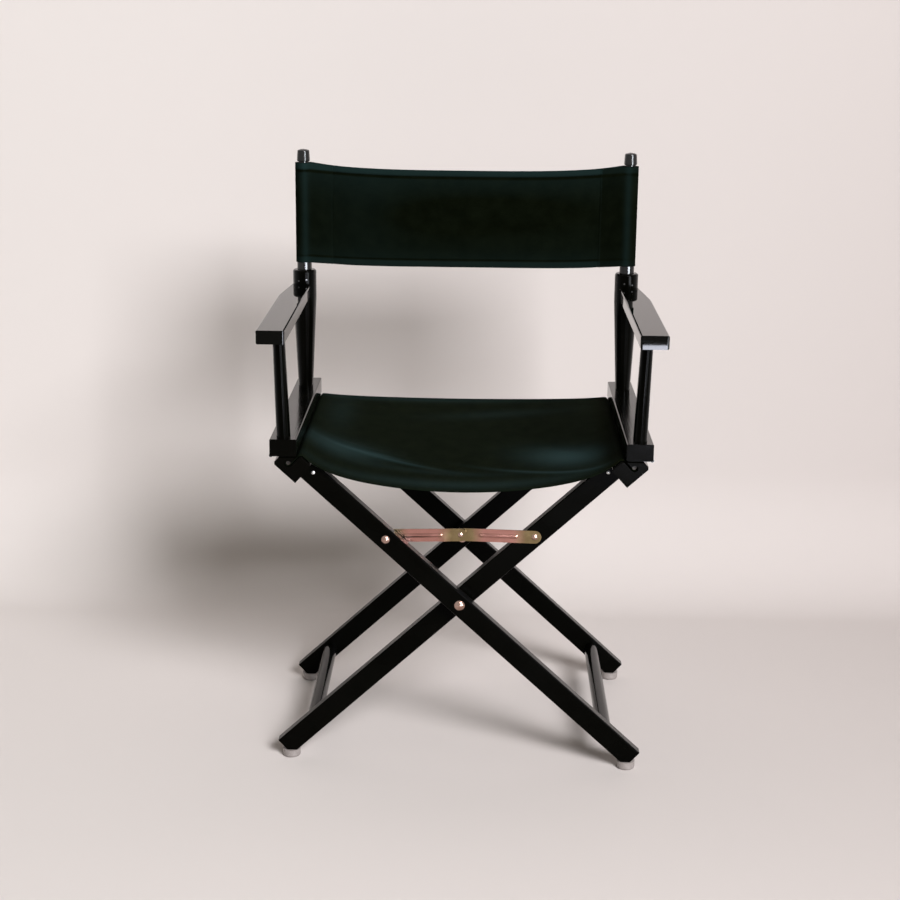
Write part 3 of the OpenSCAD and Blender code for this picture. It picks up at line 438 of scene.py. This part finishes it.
def cloth_grid(columns, rows, shape, size, sheen_share):
    """A sheet of columns by rows squares. shape(u, v) gives its place for shares u and
    v from 0 to 1, and size is its width and length, which its UV map keeps. The last argument
    gives, for a place (x, y, z), its share of painted sheen and painted shade."""
    sheet = bmesh.new()
    cloth = sheet.loops.layers.uv.new("cloth")
    sheen_paint = sheet.verts.layers.float.new("sheen_share")
    bmesh.ops.create_grid(sheet, x_segments=columns, y_segments=rows, size=0.5)
    for face in sheet.faces:
        for corner in face.loops:
            u, v = corner.vert.co.x + 0.5, corner.vert.co.y + 0.5
            corner[cloth].uv = (u * size[0] * MM, v * size[1] * MM)
    for vert in sheet.verts:
        place = shape(vert.co.x + 0.5, vert.co.y + 0.5)
        # Each corner keeps its share of painted sheen and shade for the canvas finish
        vert[sheen_paint] = min(1.0, max(0.0, sheen_share(*place)))
        vert.co = Vector(place) * MM
    mesh = bpy.data.meshes.new("canvas")
    sheet.to_mesh(mesh)
    sheet.free()
    return mesh


def give_thickness(piece, thick):
    """Turns a sheet into cloth of that thickness, evenly to both sides."""
    solid = piece.modifiers.new("cloth thickness", "SOLIDIFY")
    solid.thickness = thick * MM
    solid.offset = 0.0


def path_with_lengths(points):
    """A path and how far along it each of its points lies."""
    run = [0.0]
    for a, b in zip(points, points[1:]):
        run.append(run[-1] + math.dist(a, b))
    return points, run


def point_on(path, share):
    """The point at a share of a path's length."""
    points, run = path
    want = share * run[-1]
    low, high = 0, len(run) - 1
    while high - low > 1:
        middle = (low + high) // 2
        if run[middle] <= want:
            low = middle
        else:
            high = middle
    step = run[high] - run[low]
    part = 0.0 if step == 0 else (want - run[low]) / step
    return tuple(a + (b - a) * part for a, b in zip(points[low], points[high]))


def ridge(x, y, start, end, width, height):
    """Height at (x, y) of a soft crease that fades at both ends of its line."""
    dx, dy = end[0] - start[0], end[1] - start[1]
    length = math.hypot(dx, dy)
    along = ((x - start[0]) * dx + (y - start[1]) * dy) / (length * length)
    across = ((x - start[0]) * dy - (y - start[1]) * dx) / length
    if along <= 0.0 or along >= 1.0:
        return 0.0
    return height * math.sin(math.pi * along) ** 1.2 * math.exp(-((across / width) ** 2))


def patch(x, y, middle, reach, turn, strength):
    """Strength of a soft oval patch at (x, y), turned by degrees about its middle."""
    a = math.radians(turn)
    dx, dy = x - middle[0], y - middle[1]
    along = (dx * math.cos(a) + dy * math.sin(a)) / reach[0]
    across = (dy * math.cos(a) - dx * math.sin(a)) / reach[1]
    return strength * math.exp(-(along * along + across * across))


# Seat canvas

def seat_drop(s):
    """Share of the sag at s, from 0 in the middle to 1 at the rail."""
    return 1.0 - 0.65 * s ** 2 - 0.35 * s ** 8


def seat_half_route(sag):
    """Half of the seat's route across the chair, from the middle to the end round the rod."""
    points = []
    for i in range(0, 81):
        s = i / 80.0
        points.append((SEAT_EDGE_X * s, SEAT_EDGE_Z - sag * seat_drop(s)))
    for i in range(7):
        a = math.radians(90.0 - BEND_ANGLE * i / 6)
        across, up = BEND_RADIUS * math.cos(a), BEND_RADIUS * math.sin(a)
        points.append((BEND_X + across, SEAT_EDGE_Z - BEND_RADIUS + up))
    for i in range(22):
        a = math.radians(270.0 - BEND_ANGLE + 12 * i)
        points.append((ROD_X + ROD_WRAP * math.cos(a), ROD_Z + ROD_WRAP * math.sin(a)))
    return points


def seat_sag(v):
    """Sag of the seat at a share of its length from the front edge."""
    return FRONT_SAG + (REAR_SAG - FRONT_SAG) * v


# Creases of the seat: start, end, width, height
SEAT_CREASES = [
    ((-222, 2), (-48, -62), 5.0, 1.5),
    ((-216, -30), (-30, -84), 4.5, 1.3),
    ((-150, -34), (-84, -58), 4.0, 0.9),
    ((40, -84), (222, -150), 6.0, 1.5),
    ((70, 20), (218, -84), 8.0, 1.1),
    ((-140, -150), (120, -150), 12.0, 0.6),
]

# Patches of painted sheen on the seat, where its creases and hems catch the light: middle, reach
# along and across, turn, strength
SEAT_SHEEN_PATCHES = [
    ((-178, -46), (60, 34), -14, 0.36),
    ((-140, -44), (58, 5), -16, 0.32),
    ((-100, -64), (70, 4), -17, 0.34),
    ((158, -58), (66, 34), -30, 0.52),
    ((132, -114), (90, 5), -21, 0.36),
    ((0, -140), (200, 16), 0, 0.2),
    ((-60, 214), (190, 13), 0, 0.2),
    ((-190, 130), (22, 90), 0, 0.1),
    ((60, 150), (100, 18), 8, 0.1),
    ((-30, -96), (110, 9), -4, 0.1),
]


def seat_sheen_and_shade(x, y, z):
    """Share of painted sheen on the seat canvas: painted highlights on its creases and hems, and
    painted shade along its right edge.
    """
    painted_sheen = 0.03 + sum(patch(x, y, *spot) for spot in SEAT_SHEEN_PATCHES)
    # Past that line the painted sheen falls to a fifth: painted shade along the right rail
    return painted_sheen * (1.0 - 0.8 / (1.0 + math.exp((SEAT_SHADE_EDGE - x) / 5.0)))


def make_seat():
    """The seat canvas, from one rod over both rails to the other rod."""
    routes = []
    for row in range(SEAT_ROWS + 1):
        half = seat_half_route(seat_sag(row / SEAT_ROWS))
        routes.append(path_with_lengths([(-x, z) for x, z in reversed(half[1:])] + half))
    width = routes[SEAT_ROWS // 2][1][-1]

    def shape(u, v):
        x, z = point_on(routes[round(v * SEAT_ROWS)], u)
        y = MIDDLE_Y - SEAT_LENGTH / 2 + SEAT_LENGTH * v
        inside = max(0.0, 1.0 - (abs(x) / 219.0) ** 10) if abs(x) < 219.0 else 0.0
        lift = sum(ridge(x, y, *crease) for crease in SEAT_CREASES)
        from_front = SEAT_LENGTH * v
        from_rear = SEAT_LENGTH * (1.0 - v)
        for edge, hem in ((from_front, SEAT_FRONT_HEM), (from_rear, SEAT_REAR_HEM)):
            lift += 0.45 * math.exp(-((edge - hem * 0.5) / (hem * 0.42)) ** 2)
            lift -= 0.5 * math.exp(-((edge - hem) / 1.6) ** 2)
        return x, y, z + inside * lift

    mesh = cloth_grid(300, SEAT_ROWS, shape, (width, SEAT_LENGTH), seat_sheen_and_shade)
    seat = put_in_scene("seat_cloth", mesh, seat_cloth, None)
    give_thickness(seat, SEAT_THICK)
    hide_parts("seat_canvas")
    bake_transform(seat)


# Back canvas

def edge_sag(x, sag, power):
    """How far an edge of the back canvas hangs at x: flat over the sticks, then down."""
    span = STICK_X - STICK_RADIUS
    return 0.0 if abs(x) >= span else sag * (1.0 - (abs(x) / span) ** power)


def back_top(x):
    """Height of the back canvas's upper edge at x."""
    return BACK_TOP - edge_sag(x, BACK_TOP_SAG, BACK_TOP_CURVE)


def back_bottom(x):
    """Height of the back canvas's lower edge at x."""
    return BACK_BOTTOM - edge_sag(x, BACK_BOTTOM_SAG, BACK_BOTTOM_CURVE)


def back_height(x, v):
    """Height of the back canvas at x, for a share v from its lower edge to its upper one."""
    return back_bottom(x) + (back_top(x) - back_bottom(x)) * v


def bell(distance, reach):
    """A soft bell: 1 at no distance, and nearly nothing at twice its reach."""
    return math.exp(-((distance / reach) ** 2))


def inside_edge(distance, softness):
    """1 well inside an edge and 0 well outside it."""
    return 1.0 / (1.0 + math.exp(distance / softness))


def hem_lift(v):
    """How far the doubled edges of the back canvas stand out, at a share of its height."""
    lift = 0.0
    for edge in (BACK_HIGH * v, BACK_HIGH * (1.0 - v)):
        lift += 0.6 * bell(edge - 5.0, 4.2)
        lift -= 0.7 * bell(edge - BACK_GROOVE, 1.3)
    return lift


def back_sheen_and_shade(x, y, z):
    """Share of painted sheen on the back canvas: painted highlights along its hems and over the
    sticks, least in the middle, with painted shade in the hems' stitch grooves and on the right
    sleeve's front.
    """
    top = back_top(x) - z
    bottom = z - back_bottom(x)
    painted_sheen = 0.03 + 0.16 * bell(top, 34.0) + 0.12 * bell(bottom, 22.0)
    # Painted highlight on each doubled hem, and painted shade in the groove along its stitches
    painted_sheen += 0.34 * inside_edge(top - 9.0, 0.5) - 0.42 * bell(top - 11.2, 2.0)
    painted_sheen += 0.14 * inside_edge(bottom - 9.0, 0.5) - 0.2 * bell(bottom - 11.0, 1.4)
    # A painted pale patch at the left, and painted shade across the middle
    painted_sheen += patch(x, z, (-150, 780), (60, 80), 0, 0.07)
    painted_sheen -= patch(x, z, (10, 775), (150, 26), 2, 0.12)
    # Painted shade on the right sleeve's front
    if y < STICK_Y and x > 207.0:
        painted_sheen *= 0.35
    # Painted highlight down the front of each stick
    if y < STICK_Y - 8.0:
        painted_sheen += 0.24 * bell(abs(x) - STICK_X + 3.0, 5.0)
    return painted_sheen


def make_back_panel():
    """The back canvas between its two seams, a little wavy beside them."""
    def shape(u, v):
        x = SEAM_X * (2.0 * u - 1.0)
        to_seam = SEAM_X - abs(x)
        wave = 0.5 * math.sin(v * 9.0 + 0.6) * math.exp(-(to_seam / 70.0))
        lift = (hem_lift(v) + wave) * (1.0 - bell(to_seam, 9.0))
        return x, STICK_Y - lift, back_height(x, v)

    mesh = cloth_grid(200, 150, shape, (2 * SEAM_X, BACK_HIGH), back_sheen_and_shade)
    panel = put_in_scene("back_panel", mesh, back_cloth, "left_side")
    give_thickness(panel, BACK_THICK)
    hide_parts("back_canvas")
    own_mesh(panel)


def sleeve_route(side):
    """The sleeve's route seen from above, from its edge behind, round the stick, to the
    seam in front."""
    radius = STICK_RADIUS + 0.35 + BACK_THICK / 2
    reach = STICK_X - SEAM_X
    lean = math.asin(radius / reach)
    points = [(SEAM_X - SLEEVE_TAIL, 1.3), (SEAM_X - 1.5, 1.2), (SEAM_X + 3.0, 1.5)]
    start = math.pi / 2 + lean
    steps = 26
    for i in range(steps + 1):
        a = start - 2 * start * i / steps
        points.append((STICK_X + radius * math.cos(a), radius * math.sin(a)))
    points += [(SEAM_X + 3.5, -1.0), (SEAM_X + 1.0, -0.35), (SEAM_X - 1.0, -0.12)]
    return path_with_lengths([(side * x, y) for x, y in points])


def make_sleeve(side, body, name):
    """One sleeve of the back canvas, round its stick."""
    route = sleeve_route(side)
    width = route[1][-1]

    def shape(u, v):
        x, y = point_on(route, u)
        flare = 0.25 * math.sin(v * 7.0 + side) * bell(abs(x) - 225.0, 14.0)
        out = -1.0 if y < 0 else 1.0
        return x, STICK_Y + y + out * flare, back_height(x, v)

    mesh = cloth_grid(110, 150, shape, (width, BACK_HIGH), back_sheen_and_shade)
    sleeve = put_in_scene(name, mesh, back_cloth, body)
    give_thickness(sleeve, BACK_THICK)


# Stitches

def lay_stitches(name, lines, body, spacing=3.4, length=2.5, radius=0.32):
    """Rows of stitches: each line is a list of (place, outward normal)."""
    rows = bmesh.new()
    for line in lines:
        places = [Vector(p) for p, _ in line]
        normals = [Vector(n).normalized() for _, n in line]
        run = 0.0
        for a, b, out in zip(places, places[1:], normals):
            step = b - a
            while run < step.length:
                middle = a + step * (run / step.length)
                along = step.normalized()
                side = out.cross(along).normalized()
                turn = Matrix((along, side, along.cross(side))).transposed().to_4x4()
                stretch = Matrix.Diagonal((length / 2, radius * 1.1, radius, 1.0))
                place = Matrix.Translation(middle * MM) @ turn @ Matrix.Scale(MM, 4) @ stretch
                bmesh.ops.create_uvsphere(rows, u_segments=6, v_segments=4, radius=1.0, matrix=place)
                run += spacing
            run -= step.length
    mesh = bpy.data.meshes.new(name)
    rows.to_mesh(mesh)
    rows.free()
    mesh.uv_layers.new(name="cloth")
    return put_in_scene(name, mesh, thread, body)


def seat_top(x, y):
    """Height of the seat canvas's upper face at a place."""
    v = (y - MIDDLE_Y + SEAT_LENGTH / 2) / SEAT_LENGTH
    return SEAT_EDGE_Z - seat_sag(v) * seat_drop(min(1.0, abs(x) / SEAT_EDGE_X)) + SEAT_THICK / 2


def sew_seat():
    """The two hems of the seat, each with one row of stitches."""
    lines = []
    for y in (MIDDLE_Y - SEAT_LENGTH / 2 + 12.6, MIDDLE_Y + SEAT_LENGTH / 2 - 8.8):
        lines.append([
            ((x, y, seat_top(x, y) + 0.1), (0, 0, 1))
            for x in range(-216, 217, 6)
        ])
    seam = lay_stitches("seat_stitches", lines, None)
    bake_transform(seam)


def sew_back():
    """The stitches of the back: two hems, and a double row down each sleeve's seam."""
    front = STICK_Y - BACK_THICK / 2
    hems = []
    for height_at in (lambda x: back_top(x) - BACK_HEM, lambda x: back_bottom(x) + BACK_HEM):
        hems.append([
            ((x, front - 0.25, height_at(x)), (0, -1, 0))
            for x in range(-198, 199, 6)
        ])
    seam = lay_stitches("back_hem_stitches", hems, "left_side")
    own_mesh(seam)
    for side, body, name in (
        (-1, "left_side", "left_seam_stitches"),
        (1, "right_side", "right_seam_stitches"),
    ):
        rows = []
        for x in (SEAM_X + 1.5, SEAM_X + 7.5):
            out = 0.35 if x < SEAM_X + 3 else 1.6
            rows.append([
                ((side * x, front - out, back_height(x, v / 24.0)), (0, -1, 0))
                for v in range(0, 25)
            ])
        lay_stitches(name, rows, body)


make_seat()
make_back_panel()
make_sleeve(-1, "left_side", "back_sleeve_left")
make_sleeve(1, "right_side", "back_sleeve_right")
sew_seat()
sew_back()


# Stage, light and camera

def backdrop_paper(name, left, right):
    """Matt paper, painted darker from the left of the set to the right as shade of light that falls
    off across it.
    Its back is clear, so that the chair is also seen from behind the wall."""
    finish, nodes, links, shader = new_finish(name)
    place = nodes.new("ShaderNodeTexCoord")
    split = nodes.new("ShaderNodeSeparateXYZ")
    links.new(place.outputs["Object"], split.inputs[0])
    # Painted shade: the paper's colour darkens towards the right
    share = number_between(nodes, links, split.outputs["X"], 0.0, 1.0, -0.9, 0.9)
    links.new(colour_between(nodes, links, share, left, right), shader.inputs["Base Color"])
    shader.inputs["Roughness"].default_value = 0.9
    shader.inputs["Specular IOR Level"].default_value = 0.2
    side = nodes.new("ShaderNodeNewGeometry")
    clear = nodes.new("ShaderNodeBsdfTransparent")
    either = nodes.new("ShaderNodeMixShader")
    links.new(side.outputs["Backfacing"], either.inputs["Fac"])
    links.new(shader.outputs["BSDF"], either.inputs[1])
    links.new(clear.outputs["BSDF"], either.inputs[2])
    links.new(either.outputs["Shader"], nodes["Material Output"].inputs["Surface"])
    return finish


def make_backdrop():
    """A pale sweep: a floor that curves up into a wall behind the chair."""
    sweep = bmesh.new()
    bend_start = WALL_Y - WALL_BEND
    profile = [(FLOOR_FRONT, 0.0), (bend_start, 0.0)]
    for i in range(1, 25):
        a = math.radians(90.0 * i / 24)
        profile.append((bend_start + WALL_BEND * math.sin(a), WALL_BEND - WALL_BEND * math.cos(a)))
    profile.append((WALL_Y, WALL_TOP))
    line = [sweep.verts.new((-STAGE_SIDE, y, z)) for y, z in profile]
    edges = [sweep.edges.new(pair) for pair in zip(line, line[1:])]
    wide = bmesh.ops.extrude_edge_only(sweep, edges=edges)
    moved = [v for v in wide["geom"] if isinstance(v, bmesh.types.BMVert)]
    bmesh.ops.translate(sweep, verts=moved, vec=(2 * STAGE_SIDE, 0.0, 0.0))
    bmesh.ops.recalc_face_normals(sweep, faces=sweep.faces)
    floor = min(sweep.faces, key=lambda face: face.calc_center_median().z)
    if floor.normal.z < 0.0:
        bmesh.ops.reverse_faces(sweep, faces=sweep.faces)
    mesh = bpy.data.meshes.new("backdrop")
    sweep.to_mesh(mesh)
    sweep.free()
    backdrop = bpy.data.objects.new("backdrop", mesh)
    bpy.context.scene.collection.objects.link(backdrop)
    # The right colour is the left one darkened, as painted shade across the sweep
    paper = backdrop_paper("pale paper", left=(0.76, 0.72, 0.7), right=(0.52, 0.48, 0.465))
    mesh.materials.append(paper)
    for face in mesh.polygons:
        face.use_smooth = True


def area_lamp(name, place, turn, size, power, colour):
    """An area lamp of a width and height, hung at a place and turned."""
    lamp = bpy.data.lights.new(name, "AREA")
    lamp.shape = "RECTANGLE"
    lamp.size, lamp.size_y = size
    lamp.energy = power
    lamp.color = colour
    holder = bpy.data.objects.new(name, lamp)
    bpy.context.scene.collection.objects.link(holder)
    holder.location = place
    holder.rotation_euler = turn
    return holder


def soft_lamp(name, place, target, size, power, colour):
    """A square softbox that points at a target."""
    aim = Vector(target) - Vector(place)
    area_lamp(name, place, aim.to_track_quat("-Z", "Y").to_euler(), (size, size), power, colour)


def mirror_card(name, place, turn, size, power, colour):
    """An upright bright card that shows only in the gloss of the paint and metal."""
    card = area_lamp(name, place, (math.pi / 2, 0.0, math.radians(turn)), size, power, colour)
    card.visible_diffuse = False


def make_camera():
    """The photograph's viewpoint: a 70 mm lens on a 36 mm frame, 15 degrees down."""
    yaw, pitch, roll = -0.015965, -0.261713, 0.010376
    ahead = Vector((
        math.sin(yaw) * math.cos(pitch),
        math.cos(yaw) * math.cos(pitch),
        math.sin(pitch),
    ))
    level = Vector((math.cos(yaw), -math.sin(yaw), 0.0))
    over = level.cross(ahead)
    right = level * math.cos(roll) + over * math.sin(roll)
    up = over * math.cos(roll) - level * math.sin(roll)
    lens = bpy.data.cameras.new("camera")
    lens.lens = 70.0
    lens.sensor_width = 36.0
    camera = bpy.data.objects.new("camera", lens)
    bpy.context.scene.collection.objects.link(camera)
    turn = Matrix((right, up, -ahead)).transposed().to_4x4()
    camera.matrix_world = Matrix.Translation((0.0219, -2.5251, 1.1188)) @ turn
    bpy.context.scene.camera = camera


def light_world(strength, seen_strength):
    """A dim soft room, which is paler where the camera, gloss or clear things show it."""
    world = bpy.data.worlds.new("soft room")
    world.use_nodes = True
    nodes, links = world.node_tree.nodes, world.node_tree.links
    sky = nodes["Background"]
    path = nodes.new("ShaderNodeLightPath")
    shown = path.outputs["Is Camera Ray"]
    for ray in ("Is Glossy Ray", "Is Transmission Ray"):
        shown = worked_out(nodes, links, "MAXIMUM", shown, path.outputs[ray])
    level = number_between(nodes, links, shown, strength, seen_strength, 0.0, 1.0)
    links.new(level, sky.inputs["Strength"])
    colour = colour_between(nodes, links, shown, (1.0, 0.92, 0.72), (1.0, 0.98, 0.97))
    links.new(colour, sky.inputs["Color"])
    bpy.context.scene.world = world


make_backdrop()
soft_lamp(
    "key softbox",
    place=(1.95, -3.8, 3.05),
    target=(0.0, 0.2, 0.45),
    size=1.8,
    power=368.0,
    colour=(1.0, 0.985, 1.0),
)
mirror_card(
    "card by the floor",
    place=(0.74, -2.62, 0.085),
    turn=0.0,
    size=(0.62, 0.16),
    power=28.0,
    colour=(0.86, 0.88, 1.0),
)
mirror_card(
    "tall card on the right",
    place=(1.6, -2.25, 0.5),
    turn=33.0,
    size=(0.8, 0.9),
    power=80.0,
    colour=(0.9, 0.95, 1.0),
)
light_world(strength=0.13, seen_strength=0.65)
make_camera()
bpy.context.scene.view_settings.view_transform = "Standard"
